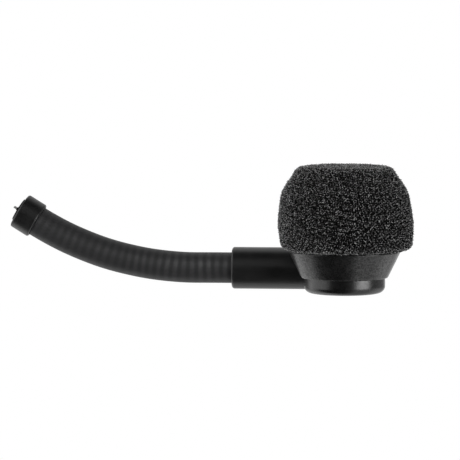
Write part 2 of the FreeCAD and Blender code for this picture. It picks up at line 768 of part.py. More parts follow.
# ---------------------------------------------------------------- build, check and write
pieces = [ring(*sizes) for sizes in PLAIN_RINGS]
pieces += [
    rear_cap(), cap_seal_ring(), head_housing(), front_grille(),
    capsule_boot(), capsule_can(), backplate(), transistor(), windscreen_foam(),
    boom_sleeve(), sleeve_end_plug(), saddle_screws(), neck_bushing(),
]
pieces += gooseneck()
pieces += [rear_ferrule(), lead_grommet(), output_leads(), tinned_tips(), head_leads()]

doc.recompute()
for item in doc.Objects:
    if "Invalid" in item.State or "Error" in item.State:
        raise RuntimeError("%s is in state %s" % (item.Name, item.State))
os.makedirs("parts", exist_ok=True)
for piece in pieces:
    shape = piece.Shape
    if shape.isNull() or not shape.isValid() or shape.Volume <= 0:
        raise RuntimeError("bad shape: " + piece.Label)
    shape.exportStep("parts/" + piece.Label + ".step")
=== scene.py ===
# A small microphone on a gooseneck boom. The head stands on the Z axis through the origin with a
# foam windscreen around its upper part. The boom lies in the plane y = 9.4 mm: it runs along X
# into the head side and bends upward toward its rear end at -X. The camera looks from -Y.
import math
from itertools import combinations, permutations

import bpy
import numpy as np
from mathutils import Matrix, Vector


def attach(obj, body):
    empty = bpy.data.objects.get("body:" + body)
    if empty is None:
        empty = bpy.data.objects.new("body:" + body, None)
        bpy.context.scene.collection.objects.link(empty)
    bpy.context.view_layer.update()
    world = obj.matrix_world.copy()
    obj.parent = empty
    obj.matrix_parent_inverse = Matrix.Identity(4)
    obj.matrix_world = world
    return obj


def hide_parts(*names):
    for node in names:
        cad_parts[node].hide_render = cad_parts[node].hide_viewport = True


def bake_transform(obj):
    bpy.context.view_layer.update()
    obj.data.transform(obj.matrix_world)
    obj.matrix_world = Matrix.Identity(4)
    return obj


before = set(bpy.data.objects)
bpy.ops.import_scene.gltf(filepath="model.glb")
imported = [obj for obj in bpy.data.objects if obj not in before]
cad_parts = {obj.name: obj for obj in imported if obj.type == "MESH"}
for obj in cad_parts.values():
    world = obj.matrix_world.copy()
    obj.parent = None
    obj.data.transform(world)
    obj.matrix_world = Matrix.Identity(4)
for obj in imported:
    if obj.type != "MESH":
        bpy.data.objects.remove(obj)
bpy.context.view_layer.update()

MM = 0.001
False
scene = bpy.context.scene


# ------------------------------------------------------------------ node helpers
def rgba(colour):
    """A grey level or RGB triple as RGBA; a socket passes through."""
    if isinstance(colour, bpy.types.NodeSocket):
        return colour
    if isinstance(colour, float):
        colour = (colour,) * 3
    return (*colour, 1.0)


class Nodes:
    """Short calls that fill an emptied node tree."""

    def __init__(self, tree):
        self.tree = tree
        tree.nodes.clear()

    def put(self, socket, value):
        """Link the value if it is a socket, otherwise set it."""
        if isinstance(value, bpy.types.NodeSocket):
            self.tree.links.new(value, socket)
        else:
            socket.default_value = value

    def node(self, kind, inputs=None, **settings):
        made = self.tree.nodes.new(kind)
        for key, value in settings.items():
            setattr(made, key, value)
        for socket, value in (inputs or {}).items():
            self.put(made.inputs[socket], value)
        return made

    def math(self, operation, *values):
        inputs = dict(enumerate(values))
        return self.node("ShaderNodeMath", inputs, operation=operation).outputs[0]

    def linear(self, value, times, plus):
        return self.math("MULTIPLY_ADD", value, times, plus)


class Material(Nodes):
    """A Principled material; textures use object coordinates, in metres."""

    def __init__(self, name):
        self.material = bpy.data.materials.new(name)
        self.material.use_nodes = True
        super().__init__(self.material.node_tree)
        self.bsdf = self.node("ShaderNodeBsdfPrincipled")
        self.node("ShaderNodeOutputMaterial", {0: self.bsdf.outputs[0]})
        self.place = self.node("ShaderNodeTexCoord").outputs["Object"]

    def set(self, **inputs):
        for key, value in inputs.items():
            self.put(self.bsdf.inputs[key.replace("_", " ")], value)

    def attribute(self, name):
        return self.node("ShaderNodeAttribute", attribute_name=name).outputs["Fac"]

    def noise(self, scale, detail, roughness, vector=None):
        return self.node("ShaderNodeTexNoise", {
            "Scale": scale, "Detail": detail, "Roughness": roughness,
            "Vector": vector or self.place}).outputs["Fac"]

    def voronoi(self, scale, feature="F1"):
        inputs = {"Scale": scale, "Vector": self.place}
        return self.node("ShaderNodeTexVoronoi", inputs, feature=feature).outputs["Distance"]

    def ramp(self, factor, stops):
        """Colour ramp; each stop is (position, colour)."""
        made = self.node("ShaderNodeValToRGB", {0: factor})
        elements = made.color_ramp.elements
        while len(elements) < len(stops):
            elements.new(0.5)
        for element, (position, colour) in zip(elements, stops):
            element.position = position
            element.color = rgba(colour)
        return made.outputs["Color"]

    def mix(self, factor, low, high):
        inputs = {0: factor, 6: rgba(low), 7: rgba(high)}
        return self.node("ShaderNodeMix", inputs, data_type="RGBA").outputs[2]

    def bump(self, height, distance, normal=None):
        inputs = {"Distance": distance, "Strength": 1.0, "Height": height}
        if normal is not None:
            inputs["Normal"] = normal
        return self.node("ShaderNodeBump", inputs).outputs[0]


# ------------------------------------------------------------------ kinds of material
def moulded(name, rough, tone=None, colour=None, grain=14000.0, grain_depth=2.5e-6,
            coat=0.0, coat_rough=0.1, speck=0.0, peel=0.0, glint=0.0):
    """Moulded plastic: eroded grain, faint flow variation and a handled sheen.

    tone is the clouded grey level, unless a flat RGBA colour is given. speck lightens fine dots,
    peel is the depth of an orange-peel ripple, glint varies the strength of reflections.
    """
    m = Material(name)
    specular = 0.5
    fine = m.noise(scale=grain, detail=2.0, roughness=0.6)
    wide = m.noise(scale=420.0, detail=3.0, roughness=0.55)
    cloud = m.noise(scale=1800.0, detail=4.0, roughness=0.6)
    if colour is None:
        colour = m.ramp(wide, [(0.3, tone * 0.8), (0.7, tone * 1.25)])
    if speck:
        dots = m.ramp(m.voronoi(scale=grain * 0.42), [(0.0, 1.0), (0.16, 0.0)])
        colour = m.mix(dots, colour, tone + speck)
    spread = rough[1] - rough[0]
    sheen = m.linear(m.math("MULTIPLY", cloud, wide),
                     times=spread * 4.0, plus=rough[0] - spread * 0.35)
    ripple = None
    if peel:
        ripple = m.bump(m.noise(scale=4200.0, detail=2.0, roughness=0.7), distance=peel)
        m.set(Coat_Normal=ripple)
    m.set(Base_Color=colour, Roughness=m.math("MAXIMUM", sheen, 0.05),
          Specular_IOR_Level=specular, Coat_Weight=coat, Coat_Roughness=coat_rough,
          Normal=m.bump(fine, distance=grain_depth, normal=ripple))
    if glint:
        patches = m.ramp(m.noise(scale=4300.0, detail=1.0, roughness=0.5),
                         [(0.36, 0.0), (0.66, 1.0)])
        gain = m.linear(patches, times=2 * glint, plus=1 - glint)
        m.set(Specular_IOR_Level=m.math("MULTIPLY", gain, specular),
              Coat_Weight=m.math("MULTIPLY", gain, coat))
    return m.material


def metal(name, colour, rough=(0.2, 0.35), stretch=(1, 1, 1), depth=2e-6):
    """Metal with fine marks; stretch scales the marks' coordinates along X, Y and Z."""
    m = Material(name)
    marked = m.node("ShaderNodeMapping", {"Scale": stretch, "Vector": m.place}).outputs[0]
    marks = m.noise(scale=9000.0, detail=3.0, roughness=0.6, vector=marked)
    wide = m.noise(scale=700.0, detail=3.0, roughness=0.6)
    dark = tuple(c * 0.75 for c in colour)
    bright = tuple(min(1, c * 1.08) for c in colour)
    m.set(Metallic=1.0, Base_Color=m.mix(wide, dark, bright),
          Roughness=m.linear(marks, times=rough[1] - rough[0], plus=rough[0]),
          Normal=m.bump(marks, distance=depth))
    return m.material


def woven(name, colour, pitch=0.22 * MM):
    """Cloth or mesh with threads along X and Y."""
    m = Material(name)
    axes = m.node("ShaderNodeSeparateXYZ", {0: m.place}).outputs
    waves = [m.math("SINE", m.math("MULTIPLY", axes[i], 2 * math.pi / pitch)) for i in (0, 1)]
    weave = m.math("MULTIPLY", *waves)
    m.set(Base_Color=m.ramp(m.linear(weave, times=0.5, plus=0.5),
                            [(0.2, tuple(c * 0.4 for c in colour)), (0.8, colour)]),
          Roughness=0.8, Normal=m.bump(weave, distance=0.02 * MM))
    return m.material


def rubbery(name, tone, rough=(0.5, 0.65)):
    m = Material(name)
    fine = m.noise(scale=9000.0, detail=3.0, roughness=0.6)
    wide = m.noise(scale=600.0, detail=3.0, roughness=0.6)
    m.set(Base_Color=m.ramp(wide, [(0.3, tone * 0.8), (0.7, tone * 1.3)]),
          Roughness=m.linear(fine, times=rough[1] - rough[0], plus=rough[0]),
          Normal=m.bump(fine, distance=4e-6))
    return m.material


def circuit_board(name):
    """Green mask over a net of raised tracks."""
    m = Material(name)
    cells = m.voronoi(scale=1400.0, feature="DISTANCE_TO_EDGE")
    tracks = m.ramp(cells, [(0.02, 0.0), (0.06, 1.0)])
    m.set(Base_Color=m.mix(tracks, (0.35, 0.28, 0.1), (0.015, 0.09, 0.04)),
          Roughness=0.35, Normal=m.bump(tracks, distance=0.01 * MM))
    return m.material


# ------------------------------------------------------------------ materials of the CAD pieces
finishes = {
    "head_housing": moulded("housing_satin", tone=0.0105, rough=(0.20, 0.34), grain=12000.0,
                            grain_depth=3.4e-6, coat=0.25, coat_rough=0.12, speck=0.03,
                            peel=18e-6, glint=0.5),
    "rear_cap": moulded("cap_satin", tone=0.008, rough=(0.20, 0.34), grain=16000.0,
                        grain_depth=1.6e-6, coat=0.25, coat_rough=0.14, peel=12e-6),
    "boom_sleeve": moulded("sleeve_satin", tone=0.019, rough=(0.28, 0.35), grain=9000.0,
                           grain_depth=3e-6),
    "windscreen_ring": moulded("retaining_ring_plastic", tone=0.02, rough=(0.4, 0.5)),
    "front_grille": moulded("grille_powder_coat", tone=0.02, rough=(0.45, 0.6), grain=7000.0,
                            grain_depth=8e-6),
    "damping_cloth": woven("damping_cloth_weave", (0.03, 0.03, 0.032)),
    "rear_port_mesh": woven("port_mesh_weave", (0.3, 0.3, 0.31), pitch=0.16 * MM),
    "cap_seal_ring": rubbery("seal_rubber", tone=0.015),
    "capsule_boot": rubbery("boot_rubber", tone=0.03),
    "capsule_can": metal("can_aluminium", (0.8, 0.8, 0.82)),
    "tension_ring": metal("contact_brass", (0.8, 0.62, 0.3)),
    "diaphragm": metal("diaphragm_film", (0.8, 0.78, 0.72), rough=(0.08, 0.14)),
    "spacer_ring": moulded("spacer_film", tone=0.6, rough=(0.3, 0.4)),
    "backplate_holder": moulded("holder_plastic", tone=0.5, rough=(0.4, 0.5)),
    "capsule_board": circuit_board("capsule_board_mask"),
    "transistor": moulded("transistor_epoxy", tone=0.015, rough=(0.5, 0.6)),
    "sleeve_end_plug": rubbery("plug_rubber", tone=0.012, rough=(0.42, 0.55)),
    "saddle_screws": metal("screw_black_zinc", (0.09, 0.09, 0.095), rough=(0.25, 0.4)),
    "neck_bushing": metal("bushing_anodised", (0.22, 0.22, 0.23), rough=(0.3, 0.42),
                          stretch=(1, 6, 6)),
    "rear_ferrule": moulded("ferrule_black", tone=0.014, rough=(0.28, 0.4), grain=12000.0,
                            grain_depth=2e-6),
    "lead_grommet": rubbery("grommet_rubber", tone=0.014),
    "tinned_tips": metal("tinned_copper", (0.82, 0.82, 0.8), rough=(0.25, 0.45), depth=8e-6),
}
finishes["backplate"] = finishes["tension_ring"]
coil_steel = metal("coil_steel", (0.5, 0.5, 0.52))
lead_insulation = moulded("lead_insulation", colour=(0.03, 0.03, 0.032, 1.0), rough=(0.35, 0.5))


def finish_of(name):
    """The material of a CAD piece, or None where it keeps its own."""
    if name.startswith("neck_coil"):
        return coil_steel
    if name.startswith("neck_leads") or name in ("head_leads", "output_leads"):
        return lead_insulation
    return finishes.get(name)


for name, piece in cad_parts.items():
    material = finish_of(name)
    if material is not None:
        piece.data.materials.clear()
        piece.data.materials.append(material)


# ------------------------------------------------------------------ mesh helpers
def place_mesh(name, mesh, material):
    made = bpy.data.objects.new(name, mesh)
    scene.collection.objects.link(made)
    mesh.materials.append(material)
    return made


def make(name, points, faces, material, smooth=True):
    mesh = bpy.data.meshes.new(name)
    mesh.from_pydata([tuple(point) for point in points], [], faces)
    mesh.validate()
    mesh.update()
    if smooth:
        mesh.polygons.foreach_set("use_smooth", [True] * len(mesh.polygons))
    return place_mesh(name, mesh, material)


def point_values(mesh, name, values):
    """Store one number per vertex for a material to read."""
    stored = mesh.attributes.new(name, "FLOAT", "POINT")
    stored.data.foreach_set("value", values.astype(np.float32))


def band(first, second, count):
    """Quads between two closed rings, given the index where each ring starts."""
    return [(first + j, first + (j + 1) % count, second + (j + 1) % count, second + j)
            for j in range(count)]


def ease(x):
    """Smooth step of a value from 0 to 1."""
    return x * x * (3 - 2 * x)


def unit(vectors):
    """Rows scaled to length 1."""
    return vectors / np.linalg.norm(vectors, axis=1)[:, None]


# ------------------------------------------------------------------ gooseneck jacket
BEND_RADIUS = 46.73 * MM
STRAIGHT_X = -23.37 * MM       # where the bend meets the straight part
BOOM_Y = 9.4 * MM
BOOM_Z = 2.748 * MM            # height of the straight part
PITCH = 3.775 * MM             # length of one neck link
JOINTS = 8
ARC = 6.5 * PITCH              # length of the bent part, from s = 0
END_ANGLE = ARC / BEND_RADIUS  # slope of the boom at s = 0
REAR_REACH = (1.3 + 1.55) * MM  # jacket behind s = 0
HEAD_REACH = 2.8 * MM          # jacket beyond the last link
BLEND_REACH = 1.75 * MM        # turning zone to each side of a joint
JACKET_STEP = 0.06 * MM
JACKET_SIDES = 96
JACKET_RADIUS = 2.355 * MM
JACKET_BORE = 2.06 * MM        # radius of the inside
RIB_PITCH = 1.25 * MM
RIB_HEIGHT = 0.018 * MM


def boom(s):
    """Point and in-plane normal of the boom axis, s metres from the start of the links."""
    angle = END_ANGLE - s / BEND_RADIUS
    if angle > 0:
        point = np.array([STRAIGHT_X - BEND_RADIUS * math.sin(angle), BOOM_Y,
                          BOOM_Z + BEND_RADIUS - BEND_RADIUS * math.cos(angle)])
    else:
        point = np.array([STRAIGHT_X + (s - ARC), BOOM_Y, BOOM_Z])
        angle = 0.0
    return point, np.array([math.sin(angle), 0, math.cos(angle)])


def jacket_material():
    """Shrunk satin tubing: the crowns of the coil's turns painted slightly lighter and more
    reflective as highlight bands, duller valleys, scuffs and fine grain.
    """
    m = Material("jacket_shrink_tube")
    rib = m.attribute("rib")
    fine = m.noise(scale=7000.0, detail=3.0, roughness=0.6)
    wide = m.noise(scale=520.0, detail=3.0, roughness=0.55)
    scuff = m.noise(scale=1500.0, detail=4.0, roughness=0.65)
    # painted highlight: the crowns of the turns are coloured slightly lighter and made more
    # reflective, most on the flanks where rib_share is high
    crown = m.math("MULTIPLY", rib, m.linear(scuff, times=1.2, plus=0.4))
    colour = m.mix(m.math("MINIMUM", crown, 1.0), (0.034, 0.034, 0.035), (0.036, 0.036, 0.037))
    clouds = m.ramp(wide, [(0.35, 0.0), (0.75, 0.35)])
    m.set(Base_Color=m.mix(clouds, colour, (0.030, 0.030, 0.031)),
          Roughness=m.linear(fine, times=0.14, plus=0.44),
          Specular_IOR_Level=m.linear(crown, times=0.80, plus=0.34),
          Normal=m.bump(fine, distance=4e-6, normal=m.bump(rib, distance=0.04 * MM)))
    return m.material


jacket_mat = jacket_material()


# In the rib functions, around is the angle about the boom, 0 on the upper side, rising to +Y.
def rib_phase(s, around):
    """Count of coil turns at a place, slightly uneven."""
    return (s / RIB_PITCH + 0.10 * np.sin(s / (2.9 * MM) + 0.6)
            + 0.05 * np.sin(around * 2 + s / (1.7 * MM)) - 0.35)


def rib_wave(s, around):
    """1 on the crown of each turn, 0 in the valley between two turns."""
    return ease(0.5 + 0.5 * np.cos(2 * math.pi * rib_phase(s, around)))


def rib_share(s, around):
    """How clearly the turns show: most on the -Y and +Y flanks, and more toward the head."""
    flank = np.abs(np.sin(around + math.radians(-12.0))) ** 3
    near = ease(np.clip((s - 9 * MM) / (16 * MM), 0.0, 1.0))
    return (0.10 + 0.90 * flank) * (0.45 + 0.55 * near)


def jacket_radius(s, around):
    """Very shallow rounded ribs, one per turn, with slight unevenness."""
    lumps = (0.008 * MM * np.sin(3 * around + s / (2.3 * MM))
             + 0.005 * MM * np.sin(5 * around - s / (1.1 * MM) + 1.0))
    return JACKET_RADIUS + RIB_HEIGHT * rib_wave(s, around) * rib_share(s, around) + lumps


def rib_tone(s, around):
    """Rib strength for the material, different from turn to turn; the material uses it to paint
    the crowns lighter as highlight bands.
    """
    turn = np.floor(rib_phase(s, around) + 0.5)
    return (rib_wave(s, around) * rib_share(s, around)
            * (0.60 + 0.40 * np.sin(turn * 2.4 + 1.0) ** 2))


def boom_ring(s, radius, around):
    point, normal = boom(s)
    return (point + np.outer(radius * np.cos(around), normal)
            + np.outer(radius * np.sin(around), [0, 1, 0]))


def jacket_piece(name, start, end):
    """Tube with a ribbed outside, a plain bore and sharp flat ends."""
    steps = max(8, int(round((end - start) / JACKET_STEP)))
    sides = JACKET_SIDES
    around = np.arange(sides) * 2 * math.pi / sides
    stations = [start + (end - start) * i / steps for i in range(steps + 1)]
    outer = [boom_ring(s, jacket_radius(s, around), around) for s in stations]
    inner = [boom_ring(s, JACKET_BORE, around) for s in stations]
    bore = len(stations) * sides
    faces = []
    for i in range(steps):
        for a, b, c, d in band(i * sides, (i + 1) * sides, sides):
            faces.append((a, b, c, d))
            faces.append((bore + a, bore + d, bore + c, bore + b))
    side_faces = len(faces)
    faces += band(bore, 0, sides)
    faces += [face[::-1] for face in band(bore + steps * sides, steps * sides, sides)]
    made = make(name, np.concatenate(outer + inner), faces, jacket_mat)
    mesh = made.data
    tones = [rib_tone(s, around) for s in stations]
    point_values(mesh, "rib", np.concatenate(tones + [np.zeros(bore)]))
    rims = set()
    for face in list(mesh.polygons)[side_faces:]:
        face.use_smooth = False
        rims.update(face.edge_keys)
    for edge in mesh.edges:
        if tuple(sorted(edge.vertices)) in rims:
            edge.use_edge_sharp = True
    return made


def jacket():
    """One piece over each joint, reaching into the bodies to either side of it."""
    bodies = ["boom_ferrule"] + ["neck_link_%d" % k for k in range(1, JOINTS)] + ["mic_head"]
    pieces = []
    for k in range(1, JOINTS + 1):
        joint = (k - 0.5) * PITCH
        start = -REAR_REACH if k == 1 else joint - 0.5 * PITCH
        end = JOINTS * PITCH + HEAD_REACH if k == JOINTS else joint + 0.5 * PITCH
        piece = jacket_piece("neck_jacket_skin_%d" % k, start, end)
        rear = (bodies[k - 1], tuple(boom(joint - BLEND_REACH)[0]))
        fore = (bodies[k], tuple(boom(joint + BLEND_REACH)[0]))
        if k == 7:
            # named from the head side
            rear, fore = fore, rear
        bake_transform(piece)
        if k == 1:
            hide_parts("neck_jacket_rear", "neck_jacket_1")
        elif k == JOINTS:
            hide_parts("neck_jacket_front")
        else:
            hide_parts("neck_jacket_%d" % k)
        pieces.append(piece)
    return pieces


neck_parts = jacket()

# ------------------------------------------------------------------ windscreen
# Outline of the windscreen from its lower rim to the top: (radius, z) in mm.
PROFILE = np.array([
    (7.62, 6.45), (8.35, 6.45), (9.0, 6.47), (9.4, 6.6), (9.72, 6.82), (9.92, 7.1),
    (10.04, 7.5), (10.14, 8.0), (10.21, 8.7), (10.255, 9.4), (10.26, 10.1), (10.23, 10.7),
    (10.16, 11.3), (10.06, 12.0), (9.95, 12.7), (9.83, 13.4), (9.72, 14.1), (9.6, 14.7),
    (9.45, 15.2), (9.22, 15.7), (8.88, 16.25), (8.5, 16.8), (8.12, 17.35), (7.78, 17.85),
    (7.53, 18.29), (7.2, 18.67), (6.75, 18.92), (6.1, 19.04), (5.0, 19.10), (3.5, 19.13),
    (1.8, 19.14), (0.0, 19.14)]) * MM
# Cavity from its ceiling to the lower rim: (radius, z) in mm.
CAVITY = np.array([
    (0, 14.6), (2.4, 14.6), (4.6, 14.6), (5.3, 14.2), (5.7, 13.8), (5.7, 12.0), (5.7, 10.0),
    (5.7, 8.5), (5.7, 7.27), (6.6, 7.27), (7.62, 7.27), (7.62, 6.9)]) * MM
# Sideways shift toward +X by height: (z, shift) in mm, on the -X and the +X side.
SLACK_LEFT = np.array([(8.5, 0.38), (9.6, 0.28), (11.9, 0.15), (13.5, 0.06), (16.0, 0.0)]) * MM
SLACK_RIGHT = np.array([(6.6, 0.16), (7.4, 0.16), (8.5, 0.06), (11.0, 0.08), (15.0, 0.0)]) * MM

CELL = 0.44 * MM               # spacing of the foam cells
SHELL = 0.42 * MM              # depth of the layer built as strands
STRAND = 0.081 * MM            # strand thickness
GROW = 0.04 * MM               # how far strands may stand out of the profile
FOAM_CENTRE = np.array([0, 0, 12.8 * MM])
FOAM_REACH = 17.5 * MM         # half-size of the block of cells
SECTORS = "abcdef"

CORE_INSET = 0.55 * MM
CORE_RIM = (7.66 * MM, 6.6 * MM)
CORE_ROWS = 90
CORE_SIDES = 240
PIT_DEPTH = 0.05 * MM


def slack(points):
    """The soft foam sits unevenly: drawn in low on the -X side, slightly full on the +X side."""
    out = points.copy()
    reach = np.clip((np.hypot(points[..., 0], points[..., 1]) - 7.0 * MM) / (3.0 * MM), 0, 1)
    left = np.interp(points[..., 2], *SLACK_LEFT.T)
    right = np.interp(points[..., 2], *SLACK_RIGHT.T)
    lean = np.clip(points[..., 0] / (9 * MM), -1, 1)
    out[..., 0] += reach * lean ** 2 * np.where(lean < 0, left, right)
    return out


def depth(points):
    """Distance below the windscreen's outer surface; negative outside."""
    flat = np.stack([np.hypot(points[:, 0], points[:, 1]), points[:, 2]], 1)
    nearest = np.full(len(flat), 1e9)
    side = np.zeros(len(flat))
    for a, b in zip(PROFILE[:-1], PROFILE[1:]):
        along = b - a
        t = np.clip(((flat - a) @ along) / (along @ along), 0, 1)
        gap = flat - (a + t[:, None] * along)
        distance = np.hypot(gap[:, 0], gap[:, 1])
        cross = along[0] * (flat[:, 1] - a[1]) - along[1] * (flat[:, 0] - a[0])
        better = distance < nearest - 1e-12
        nearest = np.where(better, distance, nearest)
        side = np.where(better, np.sign(cross), side)
    return nearest * side


def foam_material():
    m = Material("foam_strands")
    strand = m.attribute("strand")
    fine = m.noise(scale=2600.0, detail=2.0, roughness=0.6)
    lit = m.math("MULTIPLY", strand, m.linear(fine, times=0.8, plus=0.6))
    # the strand attribute carries painted light and shade by depth, with random tone per strand;
    # it also scales the reflections
    m.set(Base_Color=m.ramp(lit, [(0.0, 0.001), (0.3, 0.025), (1.0, 0.56)]),
          Roughness=m.linear(fine, times=0.25, plus=0.28),
          Specular_IOR_Level=m.linear(strand, times=0.30, plus=0.02))
    return m.material


def core_material():
    m = Material("foam_depth")
    pits = m.voronoi(scale=2100.0)
    # painted shade: the deep foam is coloured near black and darker still in the pits
    m.set(Base_Color=m.ramp(pits, [(0.1, 0.002), (0.6, 0.008)]), Roughness=0.9,
          Specular_IOR_Level=0.1, Normal=m.bump(pits, distance=0.3 * MM))
    return m.material


foam_mat = foam_material()
core_mat = core_material()


def surface_samples():
    """Points spread evenly over the windscreen's surface."""
    a, b = PROFILE[:-1], PROFILE[1:]
    share = np.hypot(*(b - a).T) * (a[:, 0] + b[:, 0])
    samples = []
    for k in range(len(a)):
        order = np.arange(int(400000 * share[k] / share.sum()) + 1)
        along = (order * 0.7548776662 + 0.31 * k) % 1.0
        turn = 2 * math.pi * ((order * 0.5698402910 + 0.17 * k) % 1.0)
        flat = a[k] + (b[k] - a[k]) * along[:, None]
        samples.append(np.stack(
            [flat[:, 0] * np.cos(turn), flat[:, 0] * np.sin(turn), flat[:, 1]], 1))
    return np.concatenate(samples)


def evenness(middles, weight):
    """Tone correction per strand, so every patch of surface shows as much lit foam."""
    low = np.array([-11.5, -11.5, 5.0]) * MM
    size = 0.34 * MM
    counts = (70, 70, 46)

    def tally(points, amounts):
        """Blurred sums of the amounts on a grid, and each point's grid cell."""
        sums = np.zeros(counts)
        cell = np.clip(((points - low) / size).astype(int), 1, np.array(counts) - 2)
        cell = tuple(cell.T)
        np.add.at(sums, cell, amounts)
        for axis in range(3):
            sums = 0.25 * np.roll(sums, 1, axis) + 0.5 * sums + 0.25 * np.roll(sums, -1, axis)
        return sums, cell

    samples = surface_samples()
    foam, cell = tally(middles, weight)
    skin, _ = tally(samples, np.ones(len(samples)))
    local = foam[cell] / np.maximum(skin[cell], 0.5)
    return np.clip(np.median(local) / np.maximum(local, 1e-12), 0.3, 2.6)


def cell_edges(random):
    """Corners and edges of space-filling fourteen-sided cells, tilted, warped and jittered."""
    tilt, _ = np.linalg.qr(random.normal(size=(3, 3)))
    # cell centres on a body-centred lattice, counted in quarters of a cell
    count = int(math.ceil(FOAM_REACH / CELL))
    steps = np.arange(-count, count + 1) * 4
    centres = np.stack(np.meshgrid(steps, steps, steps, indexing="ij"), -1).reshape(-1, 3)
    centres = np.concatenate([centres, centres + 2])
    centres = centres[(np.abs(centres) * CELL / 4 <= FOAM_REACH).all(1)]
    below = depth(centres * (CELL / 4) @ tilt.T + FOAM_CENTRE)
    centres = centres[(below > -1.1 * CELL) & (below < SHELL + 1.1 * CELL)]

    shape = np.array([corner for one in (-1, 1) for two in (-2, 2)
                      for corner in permutations((0, one, two))])
    pairs = [(i, j) for i, j in combinations(range(len(shape)), 2)
             if ((shape[i] - shape[j]) ** 2).sum() == 2]
    corners = centres[:, None, :] + shape[None]
    # one whole number per corner merges the corners that cells share
    code = ((corners[..., 0] + 4096) * 8192 + (corners[..., 1] + 4096)) * 8192
    code = code + corners[..., 2] + 4096
    _, index, inverse = np.unique(code.ravel(), return_index=True, return_inverse=True)
    inverse = inverse.reshape(-1, len(shape))
    edges = np.concatenate([np.sort(inverse[:, list(pair)], axis=1) for pair in pairs])
    edges = np.unique(edges, axis=0)
    points = corners.reshape(-1, 3)[index] * (CELL / 4) @ tilt.T + FOAM_CENTRE

    warp = np.zeros_like(points)
    for _ in range(8):
        wave = random.normal(size=3)
        wave = wave / np.linalg.norm(wave) * (2 * math.pi / (random.uniform(2.5, 7.0) * MM))
        swing = np.sin(points @ wave + random.uniform(0, 6.28))[:, None]
        warp += swing * random.normal(size=3) * 0.03 * MM
    return points + warp + random.normal(size=points.shape) * 0.10 * CELL, edges


def strand_ends(points, edges, random):
    """Ends of the edges in the layer; those that cross the surface are cut to stubs."""
    below = depth(points) + GROW
    skin = np.clip(0.045 + 0.04 * random.normal(size=len(points)), 0.0, 0.16) * MM
    alive = below > skin
    a, b = edges.T
    edges = edges[(alive[a] | alive[b]) & ~((below[a] > SHELL) & (below[b] > SHELL))]
    a, b = edges.T
    start, end = points[a], points[b]
    stub = random.uniform(0.1, 0.55, len(edges))[:, None]
    for near, far, cut in ((start, end, ~alive[a]), (end, start, ~alive[b])):
        near[cut] = far[cut] + (near[cut] - far[cut]) * stub[cut]
    long_enough = np.linalg.norm(end - start, axis=1) > 0.03 * MM
    return start[long_enough], end[long_enough]


def foam_strands():
    """Three-sided prisms (six corners each), their middles and their shades."""
    random = np.random.RandomState(11)
    start, end = strand_ends(*cell_edges(random), random)
    length = np.linalg.norm(end - start, axis=1)
    along = (end - start) / length[:, None]
    upright = np.abs(along[:, 2:3]) >= 0.8
    helper = np.where(upright, np.array([[1.0, 0, 0]]), np.array([[0.0, 0, 1]]))
    across = unit(np.cross(along, helper))
    other = np.cross(along, across)
    spin = random.uniform(0, 2 * math.pi, len(along))
    radius = STRAND * 0.5 * random.uniform(0.8, 1.25, len(along))
    overlap = along * (radius * 0.35)[:, None]
    start = start - overlap
    end = end + overlap
    corners = []
    for tip in (start, end):
        for k in range(3):
            angle = spin + k * 2 * math.pi / 3
            spoke = across * np.cos(angle)[:, None] + other * np.sin(angle)[:, None]
            corners.append(tip + spoke * radius[:, None])
    middles = 0.5 * (start + end)
    # painted light and shade: outer strands are coloured light as if lit, and darken with depth
    # as shade falls into the pores
    deep = np.clip((depth(middles) + GROW - 0.08 * MM) / (0.18 * MM), 0, 1)
    tone = 0.02 + 0.98 * (1 - ease(deep))
    tone = tone * evenness(middles, tone * length * radius)
    shades = (0.20 + 0.80 * random.uniform(0, 1, len(middles)) ** 1.8) * tone
    return np.stack(corners, 1), middles, shades


def foam_piece(name, prisms, shades):
    count = len(prisms)
    mesh = bpy.data.meshes.new(name)
    points = slack(prisms.reshape(-1, 3))
    base = np.arange(count)[:, None] * 6
    faces = [(0, 1, 4, 3), (1, 2, 5, 4), (2, 0, 3, 5), (2, 1, 0), (3, 4, 5)]
    loops = np.concatenate([base + np.array(face) for face in faces], 1).ravel()
    sizes = np.tile([len(face) for face in faces], count)
    starts = np.concatenate([[0], np.cumsum(sizes)[:-1]])
    mesh.vertices.add(len(points))
    mesh.vertices.foreach_set("co", points.ravel().astype(np.float32))
    mesh.loops.add(len(loops))
    mesh.loops.foreach_set("vertex_index", loops.astype(np.int32))
    mesh.polygons.add(len(sizes))
    mesh.polygons.foreach_set("loop_start", starts.astype(np.int32))
    mesh.update(calc_edges=True)
    point_values(mesh, "strand", np.repeat(shades, 6))
    return place_mesh(name, mesh, foam_mat)


def foam():
    """The strands, split into equal sectors around Z."""
    prisms, middles, shades = foam_strands()
    count = len(SECTORS)
    turn = (np.arctan2(middles[:, 1], middles[:, 0]) + math.pi) / (2 * math.pi)
    sector = (turn * count).astype(int) % count
    pieces = []
    for k, letter in enumerate(SECTORS):
        chosen = sector == k
        piece = foam_piece("windscreen_cells_%s" % letter, prisms[chosen], shades[chosen])
        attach(piece, "windscreen")
        pieces.append(piece)
    return pieces


def core_outline():
    """The profile moved inward and divided into even steps."""
    along = np.diff(PROFILE, axis=0)
    outward = unit(np.stack([along[:, 1], -along[:, 0]], 1))
    normals = np.zeros_like(PROFILE)
    normals[:-1] += outward
    normals[1:] += outward
    inset = PROFILE - unit(normals) * CORE_INSET
    inset[-1, 0] = 0
    inset[:, 0] = np.maximum(inset[:, 0], 0)
    travelled = np.cumsum(np.linalg.norm(np.diff(inset, axis=0), axis=1))
    travelled = np.concatenate([[0], travelled])
    even = np.linspace(0, travelled[-1], CORE_ROWS)
    outline = np.stack([np.interp(even, travelled, inset[:, k]) for k in (0, 1)], 1)
    outline[0] = CORE_RIM
    return outline


